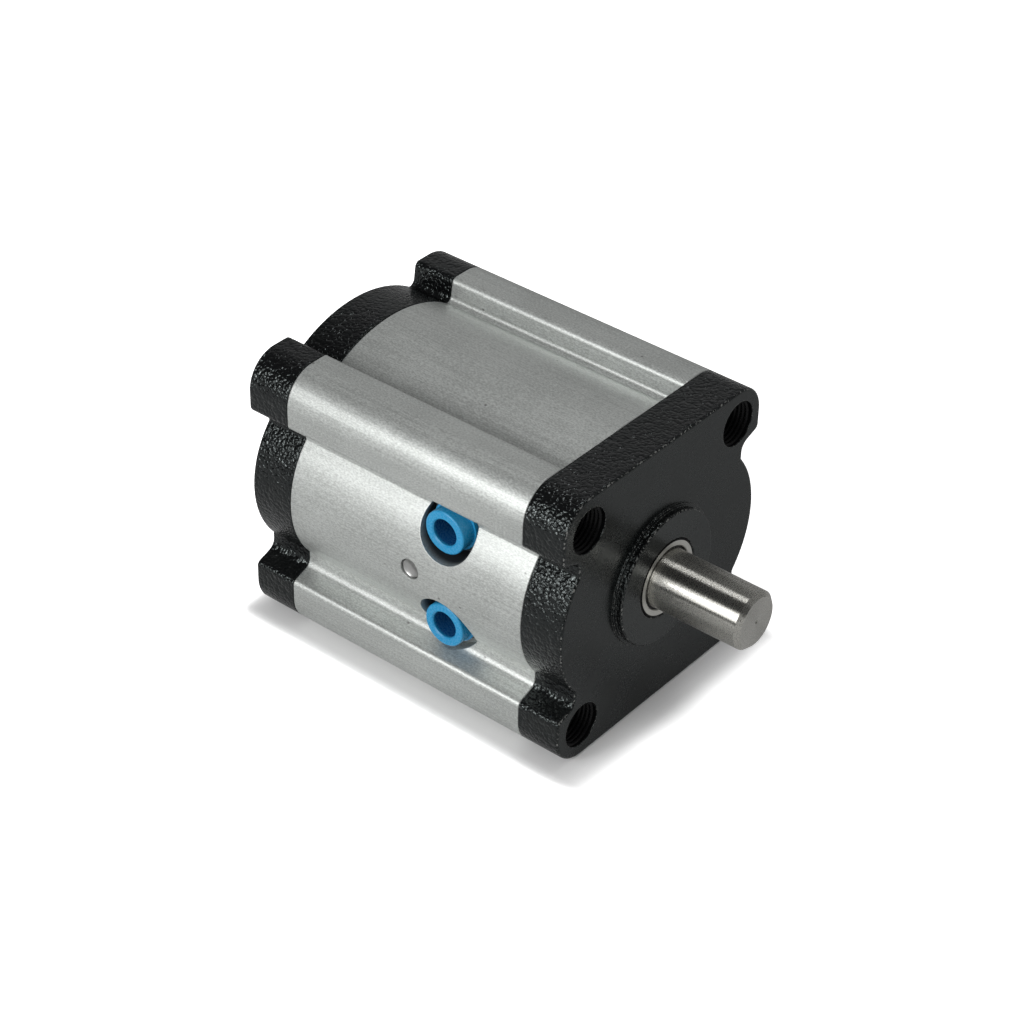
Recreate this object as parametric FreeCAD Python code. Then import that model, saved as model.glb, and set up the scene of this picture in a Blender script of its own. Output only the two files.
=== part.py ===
import FreeCAD, Part
import math
import os
from FreeCAD import Vector

# Compact pneumatic cylinder, in millimetres. X runs out along the rod, Z is up,
# and the origin is on the rod axis in the front mounting face.

# Body outline: round sides between four corner lobes, with a neck beside each lobe
bore_radius = 20.0
hole_pitch = 50.0
lobe_radius = 8.0
lobe_edge_inset = 4.8
lobe_edge_radius = 1.5
top_flank_angle = 8.0
side_flank_angle = 20.0
side_bulge_radius = 23.0
neck_depth = 5.4
top_neck_radius = 1.4
side_neck_radius = 2.4

# Lengths along the axis
front_cap_thickness = 10.5
rear_cap_thickness = 11.0
spigot_length = 6.0

# Edges and fits
cap_edge_radius = 0.6
barrel_edge_chamfer = 0.25
bore_lead_in = 0.6
static_gap = 0.02
running_gap = 0.03
free_gap = 0.3

# Corner holes and the countersunk screws seated in them
corner_hole_radius = 5.2
screw_radius = 2.5
screw_clearance_radius = 2.75
screw_head_radius = 5.0
screw_head_rim = 0.3
screw_land = 0.75
screw_engagement = 12.0
screw_drill_run_out = 2.0
screw_socket_across_flats = 3.0
screw_socket_depth = 1.8

# Boss round the rod
boss_radius = 15.6
boss_height = 2.0
boss_chamfer = 0.3
boss_step_width = 0.7
boss_step_height = 0.5

# Rod and its seals
rod_radius = 6.75
rod_reach = 24.7
rod_chamfer = 1.0
rod_centre_radius = 0.5
rod_seat_relief = 0.05
rod_seat_standoff = 0.5
rod_run_out_width = 0.5
rod_run_out_depth = 0.25
wiper_case_wall = 1.7
wiper_case_length = 4.5
wiper_case_edge = 0.2
wiper_mouth_chamfer = 0.25
wiper_lip_wall = 0.55
wiper_lip_recess = 0.5
wiper_lip_length = 2.4
wiper_lip_edge = 0.8
wiper_lip_lean = 0.15
bush_wall = 1.75
rod_seal_wall = 3.75
rod_seal_length = 3.4
retainer_seat_width = 2.0
retainer_thickness = 1.2

# Piston
stroke = 30.0
end_gap = 0.5
bumper_thickness = 2.0
bumper_seat_depth = 1.0
bumper_standoff = 1.95
bumper_width = 4.5
piston_land = 1.5
piston_rib = 1.0
piston_seal_width = 4.0
piston_seal_depth = 4.0
guide_ring_width = 4.0
guide_ring_thickness = 1.8
rod_shoulder = 1.75
rod_o_ring_section = 1.3
rod_o_ring_width = 1.7
rod_o_ring_offset = 3.0
washer_seat_width = 2.0
washer_thickness = 1.2
piston_screw_radius = 3.0
piston_screw_head_radius = 4.6
piston_screw_head_height = 3.0
piston_screw_depth = 12.0
piston_socket_across_flats = 4.0
piston_socket_depth = 1.6

# Seals between the caps and the barrel
cap_seal_depth = 2.15
cap_seal_width = 2.6
seal_edge = 0.35

# Lip seals on the rod and the piston
lip_thickness = 1.0
lip_notch_depth = 1.7
lip_bevel = 0.4

# Push-in fittings for the air tubes
port_station = 22.2
port_height = 12.0
port_recess_radius = 7.0
port_wall = 1.5
fitting_radius = 6.0
fitting_length = 4.8
fitting_wall = 1.3
fitting_lip_length = 0.7
fitting_lip_width = 0.3
fitting_floor = 0.7
fitting_outlet_radius = 2.4
fitting_seal_depth = 0.6
fitting_seal_width = 1.1
fitting_seal_offset = 2.3
tube_bore_radius = 3.1
tube_seal_length = 1.2
grip_ring_thickness = 0.3
sleeve_radius = 5.1
sleeve_reach = 5.6
sleeve_edge_radius = 0.45
sleeve_mouth_chamfer = 0.3
sleeve_flange_width = 0.5
sleeve_flange_thickness = 0.9
sleeve_travel = 0.8
sleeve_barb_length = 0.6
sleeve_barb_gap = 0.1

# Air galleries in the barrel wall and the caps
gallery_radius = 1.75
gallery_pilot_radius = 2.5
gallery_pilot_depth = 1.2
gallery_turn_depth = 3.0
gallery_margin = 0.5
gallery_seal_gap = 0.35
gallery_seal_width = 1.3
gallery_seal_thickness = 1.0

# Plug in the cross drilling behind the ports
plug_radius = 2.4
plug_length = 5.0
plug_recess = 0.5
plug_edge = 0.3
plug_offset = 7.8

# Places worked out from the sizes above
axis = Vector(1, 0, 0)
same_place = 0.001
piston_length = 2 * (piston_land + piston_seal_width + piston_rib) + guide_ring_width
chamber_length = stroke + piston_length + 2 * (bumper_thickness + end_gap)
barrel_length = chamber_length + 2 * spigot_length
front_face = 0.0
barrel_front = front_face - front_cap_thickness
barrel_rear = barrel_front - barrel_length
rear_face = barrel_rear - rear_cap_thickness
front_spigot_face = barrel_front - spigot_length
rear_spigot_face = barrel_rear + spigot_length
boss_face = front_face + boss_height
hole_offset = hole_pitch / 2
lobe_face = hole_offset + lobe_radius
lobe_edge = hole_offset - lobe_edge_inset
neck_floor = lobe_face - neck_depth
side_bulge_centre = lobe_face - side_bulge_radius
spigot_radius = bore_radius - static_gap
cap_seal_floor = spigot_radius - cap_seal_depth
retainer_front = front_spigot_face + retainer_thickness
rod_seal_front = retainer_front + rod_seal_length
wiper_seat = boss_face - wiper_case_length
rod_seal_radius = rod_radius + rod_seal_wall
retainer_radius = rod_seal_radius + retainer_seat_width
bush_radius = rod_radius + bush_wall
wiper_case_bore_radius = rod_radius + wiper_lip_wall
wiper_case_radius = wiper_case_bore_radius + wiper_case_wall
corner_cone = corner_hole_radius - screw_clearance_radius

piston_rear = rear_spigot_face + end_gap + bumper_thickness
piston_front = piston_rear + piston_length
piston_radius = bore_radius - free_gap
piston_seal_floor = bore_radius - piston_seal_depth
guide_ring_floor = bore_radius - guide_ring_thickness
front_seal_end = piston_front - piston_land
front_seal_start = front_seal_end - piston_seal_width
rear_seal_start = piston_rear + piston_land
rear_seal_end = rear_seal_start + piston_seal_width
guide_ring_start = rear_seal_end + piston_rib
guide_ring_end = guide_ring_start + guide_ring_width
bumper_inner_radius = rod_radius + bumper_standoff
rod_spigot_radius = rod_radius - rod_shoulder
washer_radius = rod_spigot_radius + washer_seat_width
screw_recess_depth = washer_thickness + piston_screw_head_height + end_gap
screw_recess_floor = piston_rear + screw_recess_depth
rod_end = front_face + rod_reach
rod_seat_start = boss_face + rod_seat_standoff

port_x = barrel_front - port_station
fitting_base = math.sqrt(bore_radius**2 - (port_height - fitting_radius)**2) + port_wall
recess_floor = fitting_base + fitting_length
sleeve_face = recess_floor + sleeve_reach
fitting_bore_radius = fitting_radius - fitting_wall
fitting_lip_radius = fitting_bore_radius - fitting_lip_width
gallery_distance = fitting_base + gallery_radius / 2
gallery_ring = math.hypot(gallery_distance, port_height)
gallery_inner_ring = cap_seal_floor - gallery_margin - gallery_radius
plug_x = port_x - plug_offset


def rod_shape(radius, start, end):
    """Cylinder on the rod axis."""
    return Part.makeCylinder(radius, end - start, Vector(start, 0, 0), axis)


def turned(corners):
    """Solid turned about the rod axis from its (x, radius) corners."""
    points = [Vector(x, radius, 0) for x, radius in corners]
    face = Part.Face(Part.makePolygon(points + points[:1]))
    return face.revolve(Vector(0, 0, 0), axis, 360)


def turned_on_port(corners, side):
    """Solid turned about a port's axis from (distance from the rod axis, radius) corners."""
    height = side * port_height
    points = [Vector(port_x + radius, -distance, height) for distance, radius in corners]
    face = Part.Face(Part.makePolygon(points + points[:1]))
    return face.revolve(Vector(port_x, 0, height), Vector(0, 1, 0), 360)


def port_shape(radius, inner, outer, side):
    """Cylinder on a port's axis, between two distances from the rod axis."""
    start = Vector(port_x, -inner, side * port_height)
    return Part.makeCylinder(radius, outer - inner, start, Vector(0, -1, 0))


def ring_corners(inner, outer, start, end, edge):
    """Corners of a rectangular section with its four edges broken."""
    return [
        (start, inner + edge),
        (start + edge, inner),
        (end - edge, inner),
        (end, inner + edge),
        (end, outer - edge),
        (end - edge, outer),
        (start + edge, outer),
        (start, outer - edge),
    ]


def lip_corners(inner, outer, closed_end, open_end):
    """Corners of a lip seal's section, with a notch in its open end."""
    way = math.copysign(1, open_end - closed_end)
    return [
        (closed_end, inner + lip_bevel),
        (closed_end + way * lip_bevel, inner),
        (open_end - way * lip_bevel, inner),
        (open_end, inner + lip_bevel),
        (open_end, inner + lip_thickness),
        (open_end - way * lip_notch_depth, (inner + outer) / 2),
        (open_end, outer - lip_thickness),
        (open_end, outer - lip_bevel),
        (open_end - way * lip_bevel, outer),
        (closed_end + way * lip_bevel, outer),
        (closed_end, outer - lip_bevel),
    ]


def corner_places():
    """The four corner hole axes, as (y, z)."""
    return [(side * hole_offset, height * hole_offset) for height in (1, -1) for side in (-1, 1)]


def slab(start, end, half_width, half_height):
    """Block that is centred on the rod axis."""
    corner = Vector(start, -half_width, -half_height)
    return Part.makeBox(end - start, 2 * half_width, 2 * half_height, corner)


def round_core(start, end):
    """Middle of the barrel and the rear cap, with a round top and bottom."""
    clear_of_crown = lobe_face + neck_depth
    crown = rod_shape(lobe_face, start, end)
    crown = crown.common(slab(start, end, neck_floor, clear_of_crown))
    return slab(start, end, neck_floor, neck_floor).fuse(crown)


def flat_core(start, end):
    """Middle of the front cap, with a flat top and bottom from lobe to lobe."""
    web = slab(start, end, hole_offset, lobe_face)
    return slab(start, end, neck_floor, neck_floor).fuse(web)


def flank(angle, height):
    """Where a lobe's sloping wall stands, at this height from the middle plane."""
    return lobe_edge - (lobe_face - height) * math.tan(math.radians(angle))


def lobe(start, end):
    """One corner lobe, rooted in the core."""
    middle = hole_offset + lobe_radius * math.sqrt(0.5)
    corner = Part.Arc(
        Vector(start, lobe_face, hole_offset),
        Vector(start, middle, middle),
        Vector(start, hole_offset, lobe_face),
    )
    straight = [
        Vector(start, hole_offset, lobe_face),
        Vector(start, lobe_edge, lobe_face),
        Vector(start, flank(top_flank_angle, hole_offset), hole_offset),
        Vector(start, hole_offset, flank(side_flank_angle, hole_offset)),
        Vector(start, lobe_face, lobe_edge),
        Vector(start, lobe_face, hole_offset),
    ]
    section = Part.Face(Part.Wire([corner.toShape()] + Part.makePolygon(straight).Edges))
    return section.extrude(axis * (end - start))


def body_outline(core, start, end):
    """The body's outline as a solid bar: a core, two round sides and four rounded lobes."""
    origin = Vector(0, 0, 0)
    length = end - start
    side = Part.makeCylinder(side_bulge_radius, length, Vector(start, side_bulge_centre, 0), axis)
    upper = lobe(start, end)
    lower = upper.mirror(origin, Vector(0, 0, 1))
    right = [side, upper, lower]
    left = [solid.mirror(origin, Vector(0, 1, 0)) for solid in right]
    bar = core.fuse(right + left).removeSplitter()
    bar = bar.makeFillet(side_neck_radius, [edge for edge in bar.Edges if is_side_neck(edge)])
    top_necks = [edge for edge in bar.Edges if is_top_neck(edge)]
    if top_necks:
        bar = bar.makeFillet(top_neck_radius, top_necks)
    return bar.makeFillet(lobe_edge_radius, [edge for edge in bar.Edges if is_lobe_edge(edge)])


def edge_place(edge):
    """How far a lengthwise edge lies from the two middle planes."""
    first, last = edge.Vertexes[0].Point, edge.Vertexes[-1].Point
    lengthwise = abs(first.x - last.x) > math.hypot(first.y - last.y, first.z - last.z)
    return (abs(first.y), abs(first.z)) if lengthwise else (0, 0)


def is_top_neck(edge):
    y, z = edge_place(edge)
    return z < lobe_face - same_place and abs(y - flank(top_flank_angle, z)) < same_place


def is_side_neck(edge):
    y, z = edge_place(edge)
    return y < lobe_face - same_place and abs(z - flank(side_flank_angle, y)) < same_place


def is_lobe_edge(edge):
    near, far = sorted(edge_place(edge))
    return abs(far - lobe_face) < same_place and abs(near - lobe_edge) < same_place


def rim_edges(solid, place):
    """Edges that lie wholly in the plane at this place along the axis."""
    return [edge for edge in solid.Edges if all(abs(v.X - place) < same_place for v in edge.Vertexes)]


def hexagon(across_flats, start, depth, y, z):
    """Hexagonal prism that runs from start towards -X."""
    radius = across_flats / math.sqrt(3)
    angles = [math.radians(60 * step) for step in range(7)]
    points = [Vector(start, y + radius * math.cos(a), z + radius * math.sin(a)) for a in angles]
    return Part.Face(Part.makePolygon(points)).extrude(axis * -depth)


def mirrored_to_rear(solid):
    """Turn a piece of the front cap round to the rear cap."""
    middle = (front_face + rear_face) / 2
    return solid.mirror(Vector(middle, 0, 0), axis)


def corner_hole(thickness):
    """Hole for one corner, on the rod axis: parallel wall, cone for a screw head, way through."""
    floor = front_face - thickness
    cone_end = floor + screw_land
    cone_start = cone_end + corner_cone
    return turned([
        (front_face, 0),
        (front_face, corner_hole_radius),
        (cone_start, corner_hole_radius),
        (cone_end, screw_clearance_radius),
        (floor, screw_clearance_radius),
        (floor, 0),
    ])


def corner_screw(thickness):
    """Countersunk socket screw for one corner, on the rod axis."""
    floor = front_face - thickness
    cone_start = floor + screw_land + corner_cone
    head_edge = cone_start - (corner_hole_radius - screw_head_radius)
    head_top = head_edge + screw_head_rim
    neck = head_edge - (screw_head_radius - screw_radius)
    tip = floor - screw_engagement
    screw = turned([
        (head_top, 0),
        (head_top, screw_head_radius),
        (head_edge, screw_head_radius),
        (neck, screw_radius),
        (tip, screw_radius),
        (tip, 0),
    ])
    return screw.cut(hexagon(screw_socket_across_flats, head_top, screw_socket_depth, 0, 0))


def at_corners(solid):
    """Copies of a piece at the four corner holes."""
    copies = []
    for y, z in corner_places():
        copy = solid.copy()
        copy.translate(Vector(0, y, z))
        copies.append(copy)
    return copies


def gallery_way(face, spigot_face, side):
    """Air way in a cap, from the barrel's gallery over to the chamber."""
    inwards = 1 if face > spigot_face else -1
    turn = face + inwards * gallery_turn_depth
    radial = Vector(0, -gallery_distance, side * port_height) * (1 / gallery_ring)
    mouth = radial * gallery_ring + Vector(face, 0, 0)
    inner = radial * gallery_inner_ring + Vector(turn, 0, 0)
    reach = gallery_turn_depth + gallery_radius
    way = Part.makeCylinder(gallery_radius, reach, mouth, axis * inwards)
    across = gallery_ring - gallery_inner_ring
    way = way.fuse(Part.makeCylinder(gallery_radius, across, inner, radial))
    down = abs(turn - spigot_face)
    way = way.fuse(Part.makeCylinder(gallery_radius, down, inner, axis * -inwards))
    seat_radius = gallery_radius + gallery_seal_gap + gallery_seal_width
    seat = Part.makeCylinder(seat_radius, gallery_seal_thickness, mouth, axis * inwards)
    return way.fuse(seat)


def gallery_seal(face, inwards, side):
    """Small ring round the joint between a gallery and its cap."""
    centre = Vector(face, -gallery_distance, side * port_height)
    outer = gallery_radius + gallery_seal_gap + gallery_seal_width - static_gap
    inner = gallery_radius + gallery_seal_gap
    disc = Part.makeCylinder(outer, gallery_seal_thickness, centre, axis * inwards)
    return disc.cut(Part.makeCylinder(inner, gallery_seal_thickness, centre, axis * inwards))


def cap_seal_groove(spigot_face, inwards):
    """Groove for the ring on a cap's spigot."""
    middle = spigot_face + inwards * spigot_length / 2
    start = middle - cap_seal_width / 2
    end = middle + cap_seal_width / 2
    return rod_shape(bore_radius, start, end).cut(rod_shape(cap_seal_floor, start, end))


def cap_seal(spigot_face, inwards):
    """Ring on a cap's spigot, squeezed between its groove and the bore."""
    middle = spigot_face + inwards * spigot_length / 2
    half = cap_seal_width / 2 - static_gap
    inner = cap_seal_floor + static_gap
    outer = bore_radius - static_gap
    return turned(ring_corners(inner, outer, middle - half, middle + half, seal_edge))


def front_cap():
    cap = body_outline(flat_core(barrel_front, front_face), barrel_front, front_face)
    cap = cap.makeFillet(cap_edge_radius, rim_edges(cap, front_face))
    cap = cap.fuse(rod_shape(spigot_radius, front_spigot_face, barrel_front))
    step_radius = boss_radius + boss_step_width
    cap = cap.fuse(turned([
        (barrel_front, 0),
        (barrel_front, step_radius),
        (front_face + boss_step_height, step_radius),
        (front_face + boss_step_height, boss_radius),
        (boss_face - boss_chamfer, boss_radius),
        (boss_face, boss_radius - boss_chamfer),
        (boss_face, 0),
    ]))
    cap = cap.cut(turned([
        (boss_face, 0),
        (boss_face, wiper_case_radius + wiper_mouth_chamfer),
        (boss_face - wiper_mouth_chamfer, wiper_case_radius),
        (wiper_seat, wiper_case_radius),
        (wiper_seat, bush_radius),
        (rod_seal_front, bush_radius),
        (rod_seal_front, rod_seal_radius),
        (retainer_front, rod_seal_radius),
        (retainer_front, retainer_radius),
        (front_spigot_face, retainer_radius),
        (front_spigot_face, 0),
    ]))
    cap = cap.cut(at_corners(corner_hole(front_cap_thickness)))
    cap = cap.cut(cap_seal_groove(front_spigot_face, 1))
    return cap.cut(gallery_way(barrel_front, front_spigot_face, 1)).removeSplitter()


def rear_cap():
    cap = body_outline(round_core(rear_face, barrel_rear), rear_face, barrel_rear)
    cap = cap.makeFillet(cap_edge_radius, rim_edges(cap, rear_face))
    cap = cap.fuse(rod_shape(spigot_radius, barrel_rear, rear_spigot_face))
    hole = mirrored_to_rear(corner_hole(rear_cap_thickness))
    cap = cap.cut(at_corners(hole))
    cap = cap.cut(cap_seal_groove(rear_spigot_face, -1))
    return cap.cut(gallery_way(barrel_rear, rear_spigot_face, -1)).removeSplitter()


def port_cut(side):
    """Recess, fitting bore and pilot of one port."""
    recess = port_shape(port_recess_radius, recess_floor, lobe_face, side)
    seat = port_shape(fitting_radius + static_gap, fitting_base, recess_floor, side)
    pilot_floor = fitting_base - gallery_pilot_depth
    pilot = port_shape(gallery_pilot_radius, pilot_floor, fitting_base, side)
    return recess.fuse([seat, pilot])


def gallery(side, end):
    """Drilling along the barrel wall from a port to one end of the barrel."""
    start = Vector(port_x, -gallery_distance, side * port_height)
    return Part.makeCylinder(gallery_radius, abs(end - port_x), start, axis * (end - port_x))


def barrel():
    body = body_outline(round_core(barrel_rear, barrel_front), barrel_rear, barrel_front)
    rims = rim_edges(body, barrel_front) + rim_edges(body, barrel_rear)
    body = body.makeChamfer(barrel_edge_chamfer, rims)
    wide = bore_radius + bore_lead_in
    body = body.cut(turned([
        (barrel_front, 0),
        (barrel_front, wide),
        (barrel_front - bore_lead_in, bore_radius),
        (barrel_rear + bore_lead_in, bore_radius),
        (barrel_rear, wide),
        (barrel_rear, 0),
    ]))
    depth = screw_engagement + screw_drill_run_out
    drill = screw_radius + static_gap
    body = body.cut(at_corners(rod_shape(drill, barrel_front - depth, barrel_front)))
    body = body.cut(at_corners(rod_shape(drill, barrel_rear, barrel_rear + depth)))
    body = body.cut([port_cut(1), port_cut(-1)])
    body = body.cut([gallery(1, barrel_front), gallery(-1, barrel_rear)])
    plug_floor = lobe_face - plug_recess - plug_length
    plug_hole = Part.makeCylinder(
        plug_radius + static_gap,
        plug_recess + plug_length,
        Vector(plug_x, -plug_floor, 0),
        Vector(0, -1, 0),
    )
    return body.cut(plug_hole).removeSplitter()


def cross_plug():
    """Steel plug pressed below the surface of the barrel's side."""
    face = lobe_face - plug_recess
    plug = Part.makeCylinder(plug_radius, plug_length, Vector(plug_x, -face, 0), Vector(0, 1, 0))
    outer = [edge for edge in plug.Edges if all(abs(v.Y + face) < same_place for v in edge.Vertexes)]
    return plug.makeChamfer(plug_edge, outer)


def wiper_case():
    inner = wiper_case_bore_radius
    outer = wiper_case_radius - static_gap
    return turned(ring_corners(inner, outer, wiper_seat, boss_face, wiper_case_edge))


def wiper_lip():
    """Rubber lip inside the wiper case, leaning out towards the rod end."""
    outer = wiper_case_bore_radius - static_gap
    inner = rod_radius + running_gap
    tip = boss_face - wiper_lip_recess
    root = tip - wiper_lip_length
    return turned([
        (root, outer),
        (root, inner + wiper_lip_lean),
        (tip - wiper_lip_edge, inner),
        (tip, inner),
        (tip, outer - wiper_lip_lean),
        (tip - wiper_lip_edge, outer),
    ])


def rod_bush():
    inner = rod_radius + running_gap
    outer = bush_radius - static_gap
    return turned(ring_corners(inner, outer, rod_seal_front, wiper_seat, seal_edge))


def rod_seal():
    inner = rod_radius + running_gap
    outer = rod_seal_radius - static_gap
    return turned(lip_corners(inner, outer, rod_seal_front - static_gap, retainer_front))


def seal_retainer():
    inner = rod_radius + free_gap
    outer = retainer_radius - static_gap
    return turned(ring_corners(inner, outer, front_spigot_face, retainer_front, static_gap))


def rod():
    seat_radius = rod_radius - rod_seat_relief
    run_out_radius = rod_radius - rod_run_out_depth
    run_out_start = rod_seat_start - rod_run_out_width
    spigot_end = screw_recess_floor + running_gap
    shaft = turned([
        (rod_end - rod_centre_radius, 0),
        (rod_end, rod_centre_radius),
        (rod_end, seat_radius - rod_chamfer),
        (rod_end - rod_chamfer, seat_radius),
        (rod_seat_start, seat_radius),
        (rod_seat_start, run_out_radius),
        (run_out_start, run_out_radius),
        (run_out_start, rod_radius),
        (piston_front, rod_radius),
        (piston_front, rod_spigot_radius),
        (spigot_end, rod_spigot_radius),
        (spigot_end, 0),
    ])
    thread_end = screw_recess_floor + piston_screw_depth + running_gap
    thread = rod_shape(piston_screw_radius + static_gap, spigot_end, thread_end)
    start = piston_front - rod_o_ring_offset
    groove = rod_shape(rod_spigot_radius, start - rod_o_ring_width, start)
    floor = rod_spigot_radius - rod_o_ring_section
    groove = groove.cut(rod_shape(floor, start - rod_o_ring_width, start))
    return shaft.cut([thread, groove])


def rod_o_ring():
    start = piston_front - rod_o_ring_offset
    inner = rod_spigot_radius - rod_o_ring_section + static_gap
    outer = rod_spigot_radius
    end = start - rod_o_ring_width + static_gap
    return turned(ring_corners(inner, outer, end, start - static_gap, seal_edge))


def piston():
    bumper_radius = bumper_inner_radius + bumper_width
    return turned([
        (piston_rear, bumper_radius),
        (piston_rear, piston_radius),
        (rear_seal_start, piston_radius),
        (rear_seal_start, piston_seal_floor),
        (rear_seal_end, piston_seal_floor),
        (rear_seal_end, piston_radius),
        (guide_ring_start, piston_radius),
        (guide_ring_start, guide_ring_floor),
        (guide_ring_end, guide_ring_floor),
        (guide_ring_end, piston_radius),
        (front_seal_start, piston_radius),
        (front_seal_start, piston_seal_floor),
        (front_seal_end, piston_seal_floor),
        (front_seal_end, piston_radius),
        (piston_front, piston_radius),
        (piston_front, bumper_radius),
        (piston_front - bumper_seat_depth, bumper_radius),
        (piston_front - bumper_seat_depth, bumper_inner_radius),
        (piston_front, bumper_inner_radius),
        (piston_front, rod_spigot_radius + static_gap),
        (screw_recess_floor, rod_spigot_radius + static_gap),
        (screw_recess_floor, washer_radius + free_gap),
        (piston_rear, washer_radius + free_gap),
        (piston_rear, bumper_inner_radius),
        (piston_rear + bumper_seat_depth, bumper_inner_radius),
        (piston_rear + bumper_seat_depth, bumper_radius),
    ])


def piston_seal(closed_end, open_end):
    inner = piston_seal_floor + running_gap
    outer = bore_radius - running_gap
    return turned(lip_corners(inner, outer, closed_end, open_end))


def guide_ring():
    inner = guide_ring_floor + running_gap
    outer = bore_radius - running_gap
    start = guide_ring_start + running_gap
    end = guide_ring_end - running_gap
    return turned(ring_corners(inner, outer, start, end, seal_edge))


def bumper(seat, face):
    inner = bumper_inner_radius + static_gap
    outer = bumper_inner_radius + bumper_width - static_gap
    return turned(ring_corners(inner, outer, min(seat, face), max(seat, face), seal_edge))


def piston_washer():
    start = screw_recess_floor - washer_thickness
    inner = piston_screw_radius + free_gap
    return turned(ring_corners(inner, washer_radius, start, screw_recess_floor, static_gap))


def piston_screw():
    head_seat = screw_recess_floor - washer_thickness
    head_top = head_seat - piston_screw_head_height
    tip = screw_recess_floor + piston_screw_depth
    screw = turned([
        (head_top, 0),
        (head_top, piston_screw_head_radius),
        (head_seat, piston_screw_head_radius),
        (head_seat, piston_screw_radius),
        (tip, piston_screw_radius),
        (tip, 0),
    ])
    socket = hexagon(piston_socket_across_flats, head_top + piston_socket_depth, piston_socket_depth, 0, 0)
    return screw.cut(socket)


def fitting_body(side):
    seal_end = recess_floor - fitting_seal_offset
    seal_start = seal_end - fitting_seal_width
    seal_floor = fitting_radius - fitting_seal_depth
    return turned_on_port([
        (fitting_base, fitting_outlet_radius),
        (fitting_base, fitting_radius),
        (seal_start, fitting_radius),
        (seal_start, seal_floor),
        (seal_end, seal_floor),
        (seal_end, fitting_radius),
        (recess_floor, fitting_radius),
        (recess_floor, fitting_lip_radius),
        (recess_floor - fitting_lip_length, fitting_lip_radius),
        (recess_floor - fitting_lip_length, fitting_bore_radius),
        (fitting_base + fitting_floor, fitting_bore_radius),
        (fitting_base + fitting_floor, fitting_outlet_radius),
    ], side)


def port_o_ring(side):
    end = recess_floor - fitting_seal_offset - static_gap
    start = end - fitting_seal_width + 2 * static_gap
    inner = fitting_radius - fitting_seal_depth + static_gap
    return turned_on_port(ring_corners(inner, fitting_radius, start, end, seal_edge / 2), side)


def tube_seal(side):
    start = fitting_base + fitting_floor
    outer = fitting_bore_radius - static_gap
    corners = ring_corners(tube_bore_radius, outer, start, start + tube_seal_length, seal_edge)
    return turned_on_port(corners, side)


def grip_ring(side):
    """Thin sprung steel ring whose inner edge leans inwards with the tube."""
    start = fitting_base + fitting_floor + tube_seal_length
    outer = fitting_bore_radius - static_gap
    return turned_on_port([
        (start, tube_bore_radius),
        (start, outer),
        (start + grip_ring_thickness, outer),
        (start + grip_ring_thickness, tube_bore_radius),
    ], side)


def release_sleeve(side):
    """Push sleeve: a round head over the recess and a barbed neck held in the fitting."""
    flange_base = recess_floor + sleeve_travel + free_gap
    flange_top = flange_base + sleeve_flange_thickness
    flange_radius = sleeve_radius + sleeve_flange_width
    neck = fitting_lip_radius - free_gap
    barb_top = recess_floor - fitting_lip_length - sleeve_barb_gap
    barb = fitting_bore_radius - free_gap / 2
    sleeve = turned_on_port([
        (barb_top - sleeve_barb_length, tube_bore_radius),
        (barb_top - sleeve_barb_length, neck),
        (barb_top, barb),
        (barb_top, neck),
        (flange_base, neck),
        (flange_base, flange_radius),
        (flange_top, flange_radius),
        (flange_top, sleeve_radius),
        (sleeve_face, sleeve_radius),
        (sleeve_face, tube_bore_radius + sleeve_mouth_chamfer),
        (sleeve_face - sleeve_mouth_chamfer, tube_bore_radius),
    ], side)
    rim = [edge for edge in sleeve.Edges if is_sleeve_rim(edge)]
    return sleeve.makeFillet(sleeve_edge_radius, rim)


def is_sleeve_rim(edge):
    round_edge = isinstance(edge.Curve, Part.Circle)
    outermost = abs(edge.Vertexes[0].Y + sleeve_face) < same_place
    return round_edge and outermost and abs(edge.Curve.Radius - sleeve_radius) < same_place


pieces = {
    "barrel": barrel(),
    "front_cap": front_cap(),
    "rear_cap": rear_cap(),
    "front_cap_seal": cap_seal(front_spigot_face, 1),
    "rear_cap_seal": cap_seal(rear_spigot_face, -1),
    "front_gallery_seal": gallery_seal(barrel_front, 1, 1),
    "rear_gallery_seal": gallery_seal(barrel_rear, -1, -1),
    "cross_plug": cross_plug(),
    "wiper_case": wiper_case(),
    "wiper_lip": wiper_lip(),
    "rod_bush": rod_bush(),
    "rod_seal": rod_seal(),
    "seal_retainer": seal_retainer(),
    "rod": rod(),
    "rod_o_ring": rod_o_ring(),
    "piston": piston(),
    "front_piston_seal": piston_seal(front_seal_start + running_gap, front_seal_end - running_gap),
    "rear_piston_seal": piston_seal(rear_seal_end - running_gap, rear_seal_start + running_gap),
    "guide_ring": guide_ring(),
    "front_bumper": bumper(piston_front - bumper_seat_depth, piston_front + bumper_thickness),
    "rear_bumper": bumper(piston_rear + bumper_seat_depth, piston_rear - bumper_thickness),
    "piston_washer": piston_washer(),
    "piston_screw": piston_screw(),
}
for name, side in (("upper", 1), ("lower", -1)):
    pieces[name + "_fitting_body"] = fitting_body(side)
    pieces[name + "_port_o_ring"] = port_o_ring(side)
    pieces[name + "_tube_seal"] = tube_seal(side)
    pieces[name + "_grip_ring"] = grip_ring(side)
    pieces[name + "_release_sleeve"] = release_sleeve(side)
rear_screw = mirrored_to_rear(corner_screw(rear_cap_thickness))
for number, screw in enumerate(at_corners(corner_screw(front_cap_thickness)), 1):
    pieces[f"front_screw_{number}"] = screw
for number, screw in enumerate(at_corners(rear_screw), 1):
    pieces[f"rear_screw_{number}"] = screw

os.makedirs("parts", exist_ok=True)
for node, shape in pieces.items():
    shape.exportStep(f"parts/{node}.step")
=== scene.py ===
import math

import bpy
from mathutils import Matrix, Vector


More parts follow.
